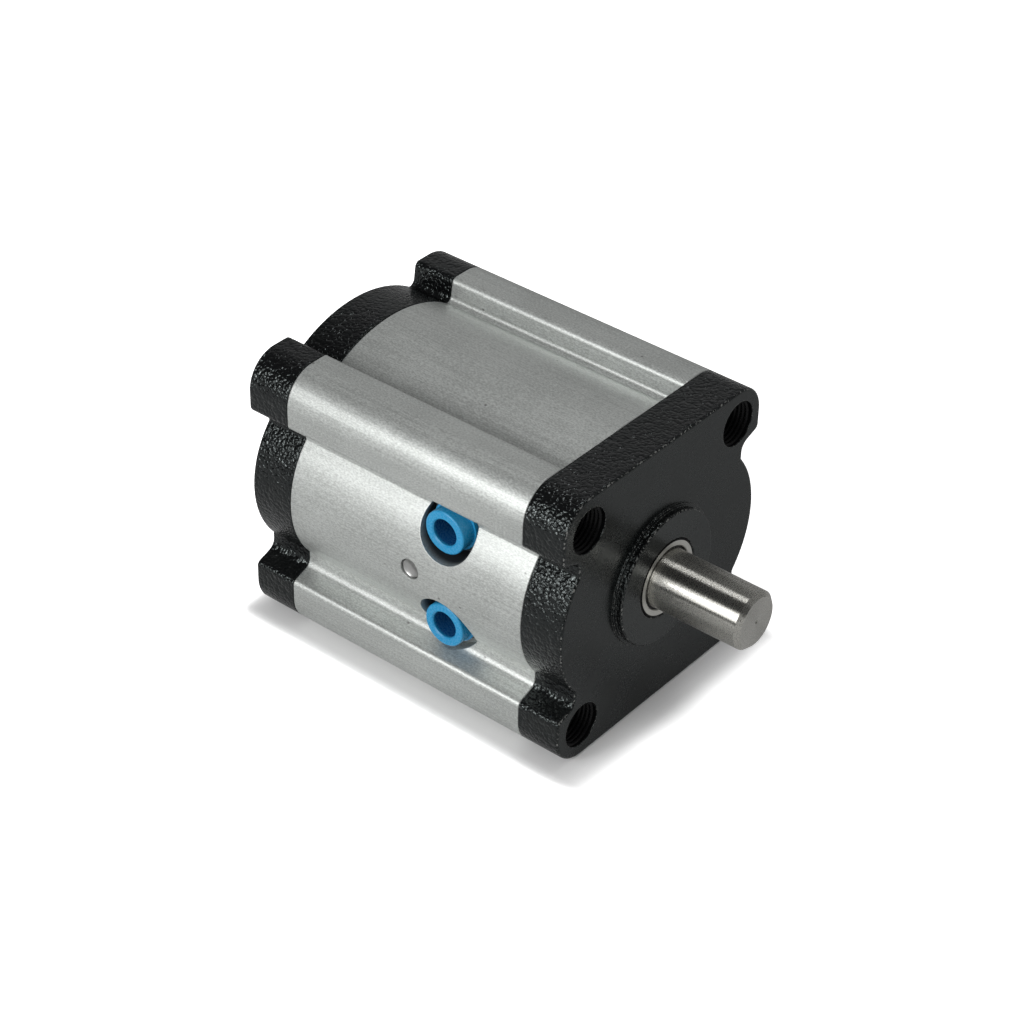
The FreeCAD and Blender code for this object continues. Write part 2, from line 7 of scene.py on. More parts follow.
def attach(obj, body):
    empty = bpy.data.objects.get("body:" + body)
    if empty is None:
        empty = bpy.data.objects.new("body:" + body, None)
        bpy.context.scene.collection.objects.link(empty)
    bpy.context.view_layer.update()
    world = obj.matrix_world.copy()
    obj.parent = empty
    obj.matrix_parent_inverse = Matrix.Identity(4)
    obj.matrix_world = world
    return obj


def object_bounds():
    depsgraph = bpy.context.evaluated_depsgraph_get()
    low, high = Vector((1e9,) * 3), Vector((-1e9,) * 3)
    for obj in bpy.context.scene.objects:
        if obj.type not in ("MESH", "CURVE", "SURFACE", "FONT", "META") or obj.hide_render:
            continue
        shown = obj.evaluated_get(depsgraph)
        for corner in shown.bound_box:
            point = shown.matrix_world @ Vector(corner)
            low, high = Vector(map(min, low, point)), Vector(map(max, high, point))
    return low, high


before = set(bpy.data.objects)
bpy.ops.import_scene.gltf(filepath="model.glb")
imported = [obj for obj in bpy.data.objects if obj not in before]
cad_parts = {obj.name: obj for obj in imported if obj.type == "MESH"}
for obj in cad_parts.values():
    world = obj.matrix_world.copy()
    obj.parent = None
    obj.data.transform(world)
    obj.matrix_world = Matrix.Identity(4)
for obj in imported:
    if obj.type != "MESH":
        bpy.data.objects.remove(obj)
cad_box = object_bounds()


# Barrel: an extruded and satin-anodised aluminium body, bored through and faced at both ends.
# The ports' recesses are milled into one side; painted shade darkens their walls with depth below
# the side.

mm_per_metre = 1000.0


def plug_in(tree, sockets, values):
    """Fill a node's sockets: a plain value is set, another node's output is linked."""
    for socket, value in values.items():
        if isinstance(value, bpy.types.NodeSocket):
            tree.links.new(value, sockets[socket])
        else:
            sockets[socket].default_value = value


def add(tree, kind, inputs=None, **settings):
    """Put a node in a tree, with its settings and its inputs."""
    made = tree.nodes.new(kind)
    for name, value in settings.items():
        setattr(made, name, value)
    plug_in(tree, made.inputs, inputs or {})
    return made


def calc(tree, operation, first, second=0.0):
    """One step of arithmetic."""
    return add(tree, "ShaderNodeMath", {0: first, 1: second}, operation=operation).outputs[0]


def vector(tree, operation, inputs):
    """One step of arithmetic on vectors."""
    return add(tree, "ShaderNodeVectorMath", inputs, operation=operation).outputs[0]


def weighted(tree, *shares):
    """The sum of some values, each times its own share."""
    parts = [calc(tree, "MULTIPLY", value, share) for value, share in shares]
    total = parts[0]
    for part in parts[1:]:
        total = calc(tree, "ADD", total, part)
    return total


def fade(tree, value, start, end, low=0.0, high=1.0):
    """A value that goes smoothly from low at start to high at end."""
    ends = {"Value": value, "From Min": start, "From Max": end, "To Min": low, "To Max": high}
    made = add(tree, "ShaderNodeMapRange", ends, interpolation_type="SMOOTHSTEP")
    return made.outputs["Result"]


def mixed(tree, share, first, second):
    """The colour that is first where share is 0 and second where it is 1."""
    colours = {0: share, 6: first, 7: second}
    return add(tree, "ShaderNodeMix", colours, data_type="RGBA").outputs[2]


def soft_noise(tree, point, scale, detail):
    """Soft noise round a point: its value, and its colour under that name."""
    looks = {"Vector": point, "Scale": scale, "Detail": detail}
    return add(tree, "ShaderNodeTexNoise", looks).outputs


def millimetres(tree):
    """The surface point's own coordinates, in millimetres: the vector, then x, y and z."""
    place = add(tree, "ShaderNodeTexCoord").outputs["Object"]
    point = vector(tree, "SCALE", {0: place, "Scale": mm_per_metre})
    parts = add(tree, "ShaderNodeSeparateXYZ", {0: point}).outputs
    return point, parts[0], parts[1], parts[2]


def beyond(tree, coordinate, offset):
    """How far a coordinate lies past an offset, on either side of the middle."""
    return calc(tree, "SUBTRACT", calc(tree, "ABSOLUTE", coordinate), offset)


def distance(tree, first, second):
    """Length of the two coordinates taken together."""
    first_square = calc(tree, "MULTIPLY", first, first)
    second_square = calc(tree, "MULTIPLY", second, second)
    return calc(tree, "SQRT", calc(tree, "ADD", first_square, second_square))


def effect(name, inputs, outputs):
    """Start a node group of numbers: its tree, its inner inputs and where its results go."""
    tree = bpy.data.node_groups.new(name, "ShaderNodeTree")
    number = "NodeSocketFloat"
    for socket, value in inputs.items():
        made = tree.interface.new_socket(socket, in_out="INPUT", socket_type=number)
        made.default_value = value
    for socket in outputs:
        tree.interface.new_socket(socket, in_out="OUTPUT", socket_type=number)
    given = tree.nodes.new("NodeGroupInput").outputs
    result = tree.nodes.new("NodeGroupOutput").inputs
    return tree, given, result


def place_group(tree, group, values):
    """Place a node group in a material with its own values: its outputs."""
    return add(tree, "ShaderNodeGroup", values, node_tree=group).outputs


def new_material(name):
    """A node material: itself, its tree and its shader's inputs."""
    material = bpy.data.materials.new(name)
    material.use_nodes = True
    return material, material.node_tree, material.node_tree.nodes["Principled BSDF"].inputs


def eased(tree, edge_mm):
    """Surface normal with the edges rounded over this width."""
    radius = edge_mm / mm_per_metre
    return add(tree, "ShaderNodeBevel", {"Radius": radius}, samples=6).outputs[0]


def raised(tree, height, depth_mm, edge_mm=0.0):
    """Surface normal of a relief, from its height between 0 and 1; edges may be eased."""
    relief = {"Height": height, "Distance": depth_mm / mm_per_metre}
    if edge_mm:
        relief["Normal"] = eased(tree, edge_mm)
    return add(tree, "ShaderNodeBump", relief).outputs["Normal"]


def dress(material, *names):
    """Give CAD nodes this finish."""
    for name in names:
        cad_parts[name].material_slots[0].material = material


# Grain of a metal or moulded surface: fine grain, wide blotches and a few small pits
grain_scale, blotch_scale, pit_scale, grain_detail = 1.0, 0.05, 0.22, 3.0
pit_rim, pit_floor, pit_rarity = 0.16, 0.07, 0.93
fine_grain, given, result = effect(
    "fine_grain",
    {"Size": 0.4, "Stretch": 1.0},
    ["Grain", "Blotch", "Pits"],
)
place = add(fine_grain, "ShaderNodeTexCoord").outputs["Object"]
across = calc(fine_grain, "DIVIDE", mm_per_metre, given["Size"])
along = calc(fine_grain, "DIVIDE", across, given["Stretch"])
stretch = add(fine_grain, "ShaderNodeCombineXYZ", {0: along, 1: across, 2: across}).outputs[0]
spread = vector(fine_grain, "MULTIPLY", {0: place, 1: stretch})
cells = add(fine_grain, "ShaderNodeTexVoronoi", {"Vector": spread, "Scale": pit_scale}).outputs
near = fade(fine_grain, cells["Distance"], pit_rim, pit_floor)
pick = add(fine_grain, "ShaderNodeSeparateColor", {0: cells["Color"]}).outputs[0]
chosen = calc(fine_grain, "GREATER_THAN", pick, pit_rarity)
plug_in(fine_grain, result, {
    "Grain": soft_noise(fine_grain, spread, grain_scale, grain_detail)[0],
    "Blotch": soft_noise(fine_grain, spread, blotch_scale, grain_detail)[0],
    "Pits": calc(fine_grain, "MULTIPLY", near, chosen),
})

port_x, port_z, recess_radius = -32.7, 12.0, 7.0
recess_edge, recess_inside = recess_radius + 0.06, recess_radius + 0.01
shade_start, shade_full = 0.15, 2.4
side_centre, side_radius = 10.0, 23.0
draw_stretch, draw_scale, draw_detail = (0.02, 2.0, 2.0), 1.0, 2.0
pit_strength = 0.8
anodised_light = (0.71, 0.735, 0.713, 1)
anodised_dark = (0.45, 0.467, 0.452, 1)
pit_colour = (0.2, 0.2, 0.195, 1)
recess_painted_shade = (0.07, 0.074, 0.08, 1)
material, tree, shader = new_material("satin_anodised")
point, x, y, z = millimetres(tree)
grain = place_group(tree, fine_grain, {"Size": 0.22, "Stretch": 2.5})
specks = place_group(tree, fine_grain, {"Size": 0.5, "Stretch": 1.3})
draw_lines = vector(tree, "MULTIPLY", {0: point, 1: draw_stretch})
streak = soft_noise(tree, draw_lines, draw_scale, draw_detail)[0]
tone = weighted(tree, (grain["Grain"], 0.65), (streak, 0.2), (specks["Blotch"], 0.15))
colour = mixed(tree, fade(tree, tone, start=0.35, end=0.65), anodised_dark, anodised_light)
pits = calc(tree, "MULTIPLY", specks["Pits"], pit_strength)
colour = mixed(tree, pits, colour, pit_colour)
# Painted shade in the port recesses: the walls get darker with depth below the barrel's side.
from_port = distance(tree, calc(tree, "SUBTRACT", x, port_x), beyond(tree, z, port_z))
in_recess = calc(
    tree,
    "MULTIPLY",
    fade(tree, from_port, recess_edge, recess_inside),
    calc(tree, "LESS_THAN", y, 0.0),
)
half_side = calc(tree, "SUBTRACT", side_radius ** 2, calc(tree, "MULTIPLY", z, z))
half_side = calc(tree, "SQRT", calc(tree, "MAXIMUM", half_side, 0.0))
side_y = calc(tree, "SUBTRACT", -side_centre, half_side)
deep = fade(tree, calc(tree, "SUBTRACT", y, side_y), shade_start, shade_full)
shaded = calc(tree, "MULTIPLY", in_recess, deep)
plug_in(tree, shader, {
    "Base Color": mixed(tree, shaded, colour, recess_painted_shade),
    "Metallic": 0.78,
    "Roughness": fade(tree, grain["Grain"], start=0.25, end=0.75, low=0.4, high=0.48),
    "Normal": raised(tree, tone, depth_mm=0.012, edge_mm=0.3),
})
dress(material, "barrel")


# Caps: die-cast aluminium, machined on the faces and the boss, under a thick black coat.
# The coat is glossy and wrinkled on the sides, smooth on the faces and in the corner holes,
# and chipped to grey along the front edges.

def varied(tree, noise, low, high):
    """A value between low and high that follows a noise."""
    noise_low, noise_high = 0.3, 0.7
    return fade(tree, noise, noise_low, noise_high, low, high)


def between(tree, share, first, second):
    """The number that is first where share is 0 and second where it is 1."""
    numbers = {0: share, 2: first, 3: second}
    return add(tree, "ShaderNodeMix", numbers, data_type="FLOAT").outputs[0]


hole_offset, hole_radius = 25.0, 5.2
hole_edge, hole_inside = hole_radius + 0.08, hole_radius + 0.02
boss_radius, boss_face = 15.6, 2.0
boss_edge, boss_inside = boss_radius + 0.1, boss_radius - 0.2
boss_below, boss_near = boss_face - 0.4, boss_face - 0.1
flat_start, flat_full = 0.86, 0.98
warp_scale, warp_detail, warp_reach = 0.9, 1.0, (0.9, 0.9, 0.9)
pebble_scale = 1.2
ripple_scale, ripple_detail, ripple_share = 1.9, 2.0, 0.3
face_grain_share = 0.05
chip_edge, chip_rear, chip_front = 0.5, -1.6, -1.0
chip_scale, chip_detail = 1.6, 3.0
coat_black = (0.003, 0.0032, 0.0034, 1)
face_dark = (0.0015, 0.0019, 0.002, 1)
face_light = (0.009, 0.0105, 0.0108, 1)
boss_grey = (0.015, 0.0165, 0.0165, 1)
chip_grey = (0.17, 0.17, 0.163, 1)
coat_tint = (0.9, 1.0, 0.99, 1)
material, tree, shader = new_material("black_leatherette_coat")
point, x, y, z = millimetres(tree)
outward = add(tree, "ShaderNodeNewGeometry").outputs["Normal"]
facing = add(tree, "ShaderNodeSeparateXYZ", {0: outward}).outputs[0]
flat = fade(tree, calc(tree, "ABSOLUTE", facing), flat_start, flat_full)
from_hole = distance(tree, beyond(tree, y, hole_offset), beyond(tree, z, hole_offset))
in_hole = fade(tree, from_hole, hole_edge, hole_inside)
smooth = calc(tree, "MAXIMUM", flat, in_hole)

warp = soft_noise(tree, point, warp_scale, warp_detail)["Color"]
warped = vector(tree, "MULTIPLY_ADD", {0: warp, 1: warp_reach, 2: point})
cells = add(tree, "ShaderNodeTexVoronoi", {"Vector": warped, "Scale": pebble_scale}).outputs
pebbles = calc(tree, "MULTIPLY", cells["Distance"], cells["Distance"])
ripple = soft_noise(tree, warped, ripple_scale, ripple_detail)[0]
wrinkle = calc(tree, "SUBTRACT", calc(tree, "MULTIPLY", ripple, ripple_share), pebbles)
wrinkle = calc(tree, "MULTIPLY", wrinkle, calc(tree, "SUBTRACT", 1.0, smooth))
grain = place_group(tree, fine_grain, {"Size": 0.5, "Stretch": 1.0})
face_grain = calc(tree, "MULTIPLY", grain["Grain"], flat)
face_grain = calc(tree, "MULTIPLY", face_grain, face_grain_share)
relief = calc(tree, "ADD", wrinkle, face_grain)

on_boss = calc(
    tree,
    "MULTIPLY",
    fade(tree, distance(tree, y, z), boss_edge, boss_inside),
    fade(tree, x, boss_below, boss_near),
)
mottle = weighted(tree, (grain["Blotch"], 0.6), (grain["Grain"], 0.4))
face = mixed(tree, fade(tree, mottle, start=0.35, end=0.65), face_dark, face_light)
face = mixed(tree, on_boss, face, boss_grey)
colour = mixed(tree, flat, coat_black, face)

lean = add(tree, "ShaderNodeSeparateXYZ", {0: eased(tree, chip_edge)}).outputs[0]
lean = calc(tree, "ABSOLUTE", lean)
front_edge = calc(
    tree,
    "MULTIPLY",
    fade(tree, lean, start=0.4, end=0.6),
    fade(tree, lean, start=0.95, end=0.85),
)
front_edge = calc(tree, "MULTIPLY", front_edge, fade(tree, x, chip_rear, chip_front))
chips = soft_noise(tree, point, chip_scale, chip_detail)[0]
worn = calc(tree, "MULTIPLY", front_edge, fade(tree, chips, start=0.54, end=0.62))
side_rough = varied(tree, ripple, low=0.09, high=0.16)
face_rough = varied(tree, mottle, low=0.18, high=0.34)
plug_in(tree, shader, {
    "Base Color": mixed(tree, worn, colour, chip_grey),
    "Roughness": between(tree, flat, side_rough, face_rough),
    "Specular IOR Level": 0.45,
    "Specular Tint": coat_tint,
    "Normal": raised(tree, relief, depth_mm=0.2, edge_mm=0.4),
})
dress(material, "front_cap", "rear_cap")


# Threads of the eight corner holes: cut in the caps before they are coated, so they are black too.
# One helical crest in each hole, swept round its axis by a screw modifier and closed at both ends.

thread_pitch, thread_turns, thread_start = 1.0, 6, -0.7
crest_radius, root_radius = 4.86, 5.24
crest_width, root_width = 0.2, thread_pitch - 0.1
steps_per_turn, merge_distance, smooth_angle = 48, 1e-7, math.radians(40)
front_face, rear_face = 0.0, -85.5
thread_dark = (0.003, 0.003, 0.0032, 1)
thread_light = (0.009, 0.009, 0.0095, 1)
mm = 1 / mm_per_metre
bpy.ops.object.select_all(action="DESELECT")
bpy.ops.mesh.primitive_plane_add(size=mm, rotation=(math.pi / 2, 0, 0))
thread = bpy.context.object
thread.name = "front_thread_1"
bpy.ops.object.transform_apply(location=True, rotation=True, scale=True)
bpy.ops.object.mode_set(mode="EDIT")
bpy.ops.mesh.delete(type="ONLY_FACE")
bpy.ops.object.mode_set(mode="OBJECT")
for corner in thread.data.vertices:
    outer = corner.co.z > 0
    half_width = root_width / 2 if outer else crest_width / 2
    corner.co.x = math.copysign(half_width, corner.co.x) * mm
    corner.co.z = (root_radius if outer else crest_radius) * mm
sweep = thread.modifiers.new("sweep", "SCREW")
sweep.axis = "X"
sweep.angle = math.tau
sweep.screw_offset = -thread_pitch * mm
sweep.iterations = thread_turns
sweep.steps = steps_per_turn
sweep.render_steps = steps_per_turn
bpy.ops.object.modifier_apply(modifier="sweep")
bpy.ops.object.mode_set(mode="EDIT")
bpy.ops.mesh.select_all(action="SELECT")
bpy.ops.mesh.remove_doubles(threshold=merge_distance)
bpy.ops.mesh.fill_holes(sides=4)
bpy.ops.mesh.select_all(action="SELECT")
bpy.ops.mesh.normals_make_consistent(inside=False)
bpy.ops.object.mode_set(mode="OBJECT")
bpy.ops.object.shade_smooth_by_angle(angle=smooth_angle)

material, tree, shader = new_material("cut_black_thread")
grain = place_group(tree, fine_grain, {"Size": 0.3, "Stretch": 1.0})
plug_in(tree, shader, {
    "Base Color": mixed(tree, grain["Grain"], thread_dark, thread_light),
    "Roughness": varied(tree, grain["Grain"], low=0.2, high=0.35),
    "Specular IOR Level": 0.16,
})
thread.data.materials.append(material)
profile = thread.data.copy()
thread_length = thread_pitch * thread_turns
ends = (
    ("front", front_face + thread_start),
    ("rear", rear_face - thread_start + thread_length),
)
hole_sides = ((-1, 1), (1, 1), (-1, -1), (1, -1))
for end, start in ends:
    for number, (side, height) in enumerate(hole_sides, 1):
        name = f"{end}_thread_{number}"
        if name == thread.name:
            piece = thread
        else:
            piece = bpy.data.objects.new(name, profile.copy())
            bpy.context.scene.collection.objects.link(piece)
        hole_place = Vector((start, side * hole_offset, height * hole_offset)) * mm
        piece.data.transform(Matrix.Translation(hole_place))
        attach(piece, "housing")
bpy.data.meshes.remove(profile)


# Corner screws: blackened steel countersunk socket screws that hold the caps to the barrel.
# They sit at the bottom of the corner holes. The piston's cap screw is blackened like them.

screw_dark = (0.012, 0.012, 0.013, 1)
screw_light = (0.04, 0.04, 0.042, 1)
material, tree, shader = new_material("blackened_steel")
grain = place_group(tree, fine_grain, {"Size": 0.25, "Stretch": 1.0})
plug_in(tree, shader, {
    "Base Color": mixed(tree, grain["Blotch"], screw_dark, screw_light),
    "Metallic": 0.6,
    "Roughness": varied(tree, grain["Grain"], low=0.32, high=0.5),
    "Normal": raised(tree, grain["Grain"], depth_mm=0.004),
})
dress(material, *[f"{end}_screw_{number}" for end in ("front", "rear") for number in range(1, 5)])
dress(material, "piston_screw")


# Rod: hardened steel bar, ground round its running length, with a turned and chamfered end.
# Grinding leaves fine lines round it, and the flat end keeps the rings of the facing cut.

lathe_marks, given, result = effect("lathe_marks", {"Spacing": 0.3}, ["Lines", "Rings"])
_, x, y, z = millimetres(lathe_marks)
for way, name in ((x, "Lines"), (distance(lathe_marks, y, z), "Rings")):
    step = calc(lathe_marks, "DIVIDE", way, given["Spacing"])
    looks = {"W": step, "Scale": 1.0, "Detail": 3.0}
    marks = add(lathe_marks, "ShaderNodeTexNoise", looks, noise_dimensions="1D").outputs[0]
    lathe_marks.links.new(marks, result[name])

rod_end, end_margin = 24.7, 0.02
steel_light = (0.68, 0.67, 0.625, 1)
steel_dark = (0.45, 0.443, 0.41, 1)
end_grey = (0.42, 0.415, 0.4, 1)
material, tree, shader = new_material("ground_rod_steel")
_, x, y, z = millimetres(tree)
marks = place_group(tree, lathe_marks, {"Spacing": 0.22})
grain = place_group(tree, fine_grain, {"Size": 0.3, "Stretch": 0.5})
on_end = calc(tree, "GREATER_THAN", x, rod_end - end_margin)
tone = weighted(tree, (marks["Lines"], 0.3), (grain["Grain"], 0.7))
colour = mixed(tree, fade(tree, tone, start=0.35, end=0.65), steel_dark, steel_light)
end_colour = mixed(tree, marks["Rings"], end_grey, steel_light)
across_marks = add(tree, "ShaderNodeCombineXYZ", {
    0: calc(tree, "SUBTRACT", 1.0, on_end),
    1: calc(tree, "MULTIPLY", on_end, y),
    2: calc(tree, "MULTIPLY", on_end, z),
}).outputs[0]
relief = between(tree, on_end, tone, marks["Rings"])
plug_in(tree, shader, {
    "Base Color": mixed(tree, on_end, colour, end_colour),
    "Metallic": 1.0,
    "Roughness": varied(tree, tone, low=0.25, high=0.32),
    "Anisotropic": 0.92,
    "Tangent": across_marks,
    "Normal": raised(tree, relief, depth_mm=0.002),
})
dress(material, "rod")


# Wiper ring: a light plated steel case pressed into the boss, with the black rubber lip inside it.
# The case keeps fine turning rings; the lip, the other seals and the bumpers are moulded rubber.

# Painted shade: outside a radius the case's face is black, standing in for the shaded gap between
# the case and the boss.
painted_gap_radius, painted_gap_fade = 8.55, 0.1
ring_dark = (0.6, 0.595, 0.56, 1)
ring_light = (0.78, 0.775, 0.73, 1)
painted_gap_shade = (0.004, 0.004, 0.004, 1)
material, tree, shader = new_material("light_plated_ring")
_, _, y, z = millimetres(tree)
marks = place_group(tree, lathe_marks, {"Spacing": 0.18})
grain = place_group(tree, fine_grain, {"Size": 0.3, "Stretch": 1.0})
colour = mixed(tree, marks["Rings"], ring_dark, ring_light)
in_painted_rim_shade = fade(tree, distance(tree, y, z), painted_gap_radius, painted_gap_radius + painted_gap_fade)
plug_in(tree, shader, {
    "Base Color": mixed(tree, in_painted_rim_shade, colour, painted_gap_shade),
    "Metallic": 0.85,
    "Roughness": varied(tree, grain["Grain"], low=0.34, high=0.46),
    "Normal": raised(tree, marks["Rings"], depth_mm=0.004),
})
dress(material, "wiper_case")

rubber_dark = (0.008, 0.008, 0.008, 1)
rubber_light = (0.02, 0.02, 0.02, 1)
material, tree, shader = new_material("moulded_black_rubber")
grain = place_group(tree, fine_grain, {"Size": 0.35, "Stretch": 1.0})
plug_in(tree, shader, {
    "Base Color": mixed(tree, grain["Blotch"], rubber_dark, rubber_light),
    "Roughness": varied(tree, grain["Grain"], low=0.5, high=0.7),
    "Normal": raised(tree, grain["Grain"], depth_mm=0.01),
})
dress(
    material,
    "wiper_lip", "rod_seal",
    "front_cap_seal", "rear_cap_seal", "front_gallery_seal", "rear_gallery_seal",
    "rod_o_ring", "front_piston_seal", "rear_piston_seal", "front_bumper", "rear_bumper",
    "upper_port_o_ring", "lower_port_o_ring", "upper_tube_seal", "lower_tube_seal",
)


# Piston and the plain inner pieces: a turned aluminium piston, a sintered bronze bush,
# the turned steel washer and seal retainer, and the moulded guide ring.

smoother, rougher = 0.06, 0.08
turned_finishes = (
    # name, dark colour, light colour, metallic, roughness, pieces
    ("turned_aluminium", (0.6, 0.61, 0.61, 1), (0.74, 0.75, 0.75, 1), 1.0, 0.28,
     ("piston",)),
    ("sintered_bronze", (0.36, 0.22, 0.1, 1), (0.5, 0.33, 0.17, 1), 1.0, 0.4,
     ("rod_bush",)),
    ("plain_turned_steel", (0.44, 0.44, 0.44, 1), (0.58, 0.58, 0.57, 1), 1.0, 0.32,
     ("piston_washer", "seal_retainer")),
    ("guide_ring_plastic", (0.5, 0.47, 0.4, 1), (0.6, 0.57, 0.49, 1), 0.0, 0.45,
     ("guide_ring",)),
)
for name, dark, light, metal, roughness, pieces in turned_finishes:
    material, tree, shader = new_material(name)
    marks = place_group(tree, lathe_marks, {"Spacing": 0.3})
    grain = place_group(tree, fine_grain, {"Size": 0.35, "Stretch": 1.0})
    tone = weighted(tree, (marks["Lines"], 0.5), (marks["Rings"], 0.5))
    low, high = roughness - smoother, roughness + rougher
    plug_in(tree, shader, {
        "Base Color": mixed(tree, varied(tree, tone, low=0.0, high=1.0), dark, light),
        "Metallic": metal,
        "Roughness": fade(tree, grain["Grain"], start=0.25, end=0.75, low=low, high=high),
        "Normal": raised(tree, tone, depth_mm=0.006),
    })
    dress(material, *pieces)


# Push-in fittings: nickel-plated brass bodies pressed into the ports, each with a sprung grip ring
# and a blue moulded release sleeve that the finger pushes in to free the tube.

# Painted shade: the bodies are coloured far darker than bright nickel, standing in for the shaded
# floor of the port recesses.
nickel_painted_shade_dark = (0.1, 0.1, 0.1, 1)
nickel_painted_shade_light = (0.18, 0.175, 0.165, 1)
material, tree, shader = new_material("nickel_brass_in_painted_shade")
grain = place_group(tree, fine_grain, {"Size": 0.3, "Stretch": 1.0})
plug_in(tree, shader, {
    "Base Color": mixed(tree, grain["Blotch"], nickel_painted_shade_dark, nickel_painted_shade_light),
    "Metallic": 1.0,
    "Roughness": varied(tree, grain["Grain"], low=0.3, high=0.45),
})
dress(material, "upper_fitting_body", "lower_fitting_body")

spring_dark = (0.42, 0.42, 0.42, 1)
spring_light = (0.55, 0.55, 0.55, 1)
material, tree, shader = new_material("spring_steel")
grain = place_group(tree, fine_grain, {"Size": 0.3, "Stretch": 1.0})
plug_in(tree, shader, {
    "Base Color": mixed(tree, grain["Grain"], spring_dark, spring_light),
    "Metallic": 1.0,
    "Roughness": varied(tree, grain["Grain"], low=0.25, high=0.4),
})
dress(material, "upper_grip_ring", "lower_grip_ring")

sleeve_face, tube_radius = -30.98, 3.1
bore_edge, bore_inside = tube_radius + 0.12, tube_radius + 0.04
bore_start, bore_deep = sleeve_face + 0.2, sleeve_face + 1.2
sleeve_blue = (0.016, 0.25, 0.5, 1)
sleeve_pale = (0.03, 0.31, 0.57, 1)
bore_painted_shade = (0.008, 0.07, 0.2, 1)
material, tree, shader = new_material("blue_sleeve_plastic")
_, x, y, z = millimetres(tree)
grain = place_group(tree, fine_grain, {"Size": 0.5, "Stretch": 1.0})
from_port = distance(tree, calc(tree, "SUBTRACT", x, port_x), beyond(tree, z, port_z))
# Painted shade inside the sleeve's bore: darker blue with depth below its face.
in_bore_painted_shade = calc(
    tree,
    "MULTIPLY",
    fade(tree, from_port, bore_edge, bore_inside),
    fade(tree, y, bore_start, bore_deep),
)
colour = mixed(tree, grain["Blotch"], sleeve_blue, sleeve_pale)
plug_in(tree, shader, {
    "Base Color": mixed(tree, in_bore_painted_shade, colour, bore_painted_shade),
    "Roughness": varied(tree, grain["Grain"], low=0.22, high=0.34),
    "Normal": raised(tree, grain["Grain"], depth_mm=0.01),
})
dress(material, "upper_release_sleeve", "lower_release_sleeve")


# Plug of the cross drilling: a bright steel plug pressed a little below the barrel's side.
# Its face is dished by the press, and painted shade darkens a ring round its rim.

plug_x, plug_radius, dish_depth = -40.5, 2.4, 0.9
plug_dark = (0.46, 0.46, 0.45, 1)
plug_light = (0.64, 0.64, 0.63, 1)
plug_painted_rim_shade = (0.06, 0.06, 0.06, 1)
material, tree, shader = new_material("bright_steel_plug")
_, x, _, z = millimetres(tree)
grain = place_group(tree, fine_grain, {"Size": 0.3, "Stretch": 1.0})
from_middle = distance(tree, calc(tree, "SUBTRACT", x, plug_x), z)
from_middle = calc(tree, "DIVIDE", from_middle, plug_radius)
dish = calc(tree, "MULTIPLY", from_middle, from_middle)
# Painted shade: a dark ring round the plug's rim, where the hole's wall shades it.
in_painted_rim_shade = fade(tree, from_middle, start=0.84, end=0.95)
colour = mixed(tree, grain["Grain"], plug_dark, plug_light)
plug_in(tree, shader, {
    "Base Color": mixed(tree, in_painted_rim_shade, colour, plug_painted_rim_shade),
    "Metallic": 1.0,
    "Roughness": varied(tree, grain["Grain"], low=0.3, high=0.4),
    "Normal": raised(tree, dish, dish_depth),
})
dress(material, "cross_plug")


# Floor: a wide sheet of white paper under the part, which fades into the white room.
# It keeps the part's soft shadow, and near the part's foot a painted contact shadow makes the
# paper darker to the camera.

floor_gap, floor_size, floor_x = 0.0001, 4.0, -0.03
foot_rear, foot_width, side_falloff = -85.5, 33.0, 2.5
white_distance, glow_start, glow_full, glow_strength = 10.0, 4.0, 13.0, 0.7
paper_dark = (0.52, 0.52, 0.52, 1)
paper_light = (0.56, 0.56, 0.56, 1)
seen_near_painted_shade = (0.85, 0.85, 0.85, 1)
seen_far = (1.4, 1.4, 1.4, 1)
white = (1, 1, 1, 1)
bpy.ops.object.select_all(action="DESELECT")
floor_place = (floor_x, 0, cad_box[0].z - floor_gap)
bpy.ops.mesh.primitive_plane_add(size=floor_size, location=floor_place)
floor = bpy.context.object
floor.name = "paper_floor"
bpy.ops.object.transform_apply(location=True, rotation=True, scale=True)
material = bpy.data.materials.new("white_paper")
material.use_nodes = True
tree = material.node_tree
tree.nodes.clear()
path = add(tree, "ShaderNodeLightPath").outputs
fibres = add(tree, "ShaderNodeTexNoise", {"Scale": 60.0, "Detail": 2.0}).outputs[0]
paper = mixed(tree, fibres, paper_dark, paper_light)
_, x, y, _ = millimetres(tree)
past_rear = calc(tree, "MULTIPLY", calc(tree, "SUBTRACT", foot_rear, x), side_falloff)
past_end = calc(tree, "MAXIMUM", calc(tree, "MAXIMUM", x, past_rear), 0.0)
past_side = calc(tree, "MULTIPLY", beyond(tree, y, foot_width), side_falloff)
past_side = calc(tree, "MAXIMUM", past_side, 0.0)
from_foot = distance(tree, past_end, past_side)
# Painted contact shadow: to the camera the paper is darker near the part's foot and brighter
# further out.
seen = mixed(tree, fade(tree, from_foot, start=0.0, end=white_distance), seen_near_painted_shade, seen_far)
shown = mixed(tree, path["Is Camera Ray"], paper, seen)
lit = add(tree, "ShaderNodeBsdfDiffuse", {"Color": shown}).outputs[0]
bright = fade(tree, from_foot, glow_start, glow_full, high=glow_strength)
bright = calc(tree, "MULTIPLY", path["Is Camera Ray"], bright)
glow = add(tree, "ShaderNodeEmission", {"Color": white, "Strength": bright}).outputs[0]
both = add(tree, "ShaderNodeAddShader", {0: lit, 1: glow}).outputs[0]
add(tree, "ShaderNodeOutputMaterial", {"Surface": both})
floor.data.materials.append(material)


# Light: a long soft box on the left with a small bright lamp in it, a soft box overhead
# and a dim one on the right, in a pale room.

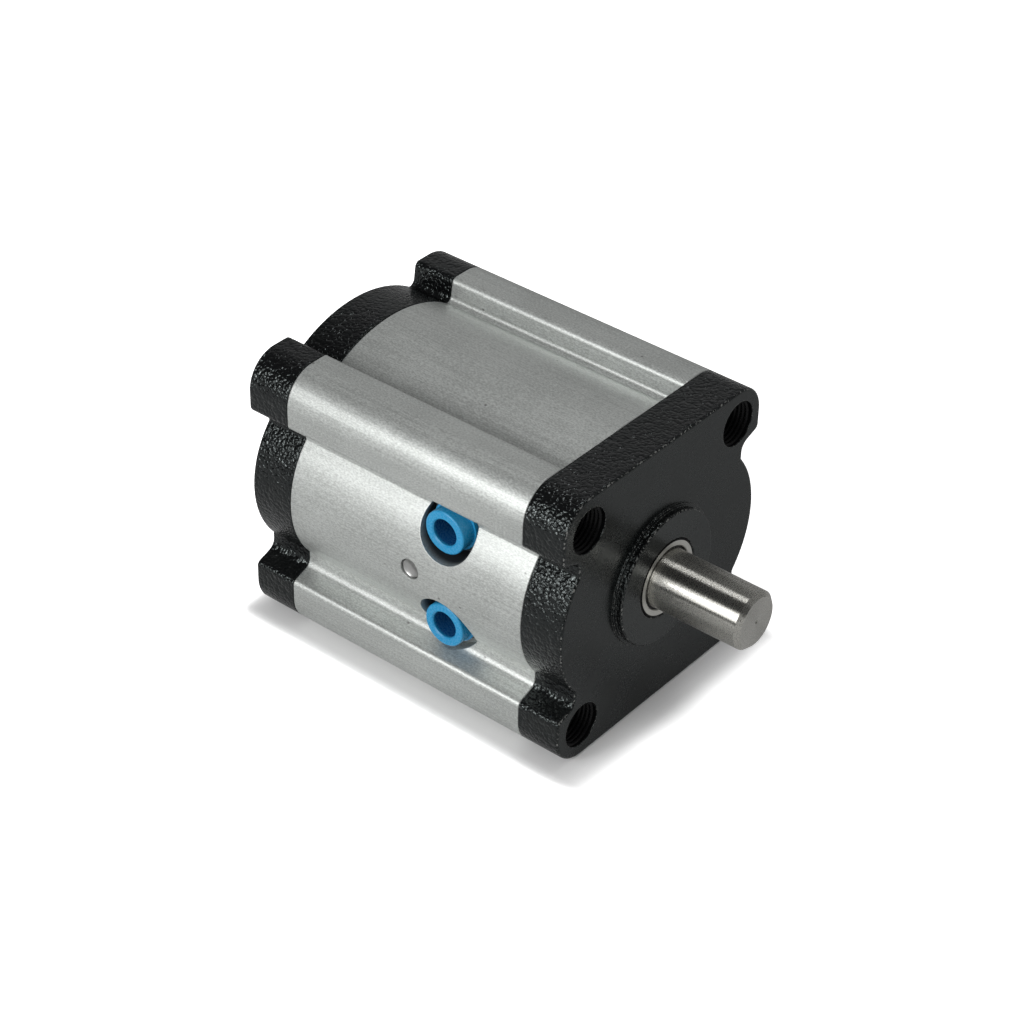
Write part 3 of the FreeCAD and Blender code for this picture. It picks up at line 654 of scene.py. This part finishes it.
room_light, reflected_left, reflected_right = 0.34, 0.06, 0.22
turn_start, turn_end = -0.1, 0.6
world = bpy.data.worlds.new("pale_room")
bpy.context.scene.world = world
world.use_nodes = True
tree = world.node_tree
tree.nodes.clear()
path = add(tree, "ShaderNodeLightPath").outputs
direction = add(tree, "ShaderNodeTexCoord").outputs["Generated"]
right_hand = add(tree, "ShaderNodeSeparateXYZ", {0: direction}).outputs[1]
mirrored = calc(tree, "MAXIMUM", path["Is Glossy Ray"], path["Is Transmission Ray"])
reflected = fade(tree, right_hand, turn_start, turn_end, reflected_left, reflected_right)
strength = between(tree, mirrored, room_light, reflected)
strength = calc(tree, "MAXIMUM", strength, path["Is Camera Ray"])
glow = add(tree, "ShaderNodeBackground", {"Color": white, "Strength": strength}).outputs[0]
add(tree, "ShaderNodeOutputWorld", {"Surface": glow})

part_middle = Vector((-0.03, 0, 0))
soft_boxes = (
    # name, direction from the part, distance, width, depth, power
    ("left_soft_box", (0.0, -0.905, 0.425), 0.75, 1.0, 0.42, 3.9),
    ("left_lamp", (-0.2, -0.88, 0.43), 0.75, 0.12, 0.12, 0.8),
    ("overhead_soft_box", (0.0, 0.05, 1.0), 0.75, 0.22, 0.22, 0.95),
    ("right_soft_box", (-0.508, 0.74, 0.44), 0.6, 0.4, 0.4, 0.045),
)
for name, way, reach, width, depth, power in soft_boxes:
    light = bpy.data.lights.new(name, "AREA")
    light.shape = "RECTANGLE"
    light.size, light.size_y = width, depth
    light.energy = power
    lamp = bpy.data.objects.new(name, light)
    bpy.context.scene.collection.objects.link(lamp)
    lamp.visible_camera = False
    towards = Vector(way).normalized()
    lamp.location = part_middle + towards * reach
    lamp.rotation_mode = "QUATERNION"
    lamp.rotation_quaternion = towards.to_track_quat("Z", "Y")


# Camera: the photograph's viewpoint, a long lens looking down on the front left corner.
# Its place, turn and roll come from a fit of the part to the photograph.

azimuth, elevation, roll = math.radians(38.855), math.radians(35.886), math.radians(1.253)
eye = Vector((0.263982, -0.377228, 0.347502))
camera_data = bpy.data.cameras.new("camera")
camera_data.lens = 97.147
camera_data.sensor_width = 36.0
camera_data.clip_start, camera_data.clip_end = 0.01, 20.0
camera = bpy.data.objects.new("camera", camera_data)
bpy.context.scene.collection.objects.link(camera)
back = Vector((
    math.sin(azimuth) * math.cos(elevation),
    -math.cos(azimuth) * math.cos(elevation),
    math.sin(elevation),
))
level = Vector((0, 0, 1)).cross(back).normalized()
upright = back.cross(level)
right = level * math.cos(roll) + upright * math.sin(roll)
top = upright * math.cos(roll) - level * math.sin(roll)
camera.matrix_world = Matrix.Translation(eye) @ Matrix((right, top, back)).transposed().to_4x4()
bpy.context.scene.camera = camera
bpy.context.scene.view_settings.view_transform = "Standard"
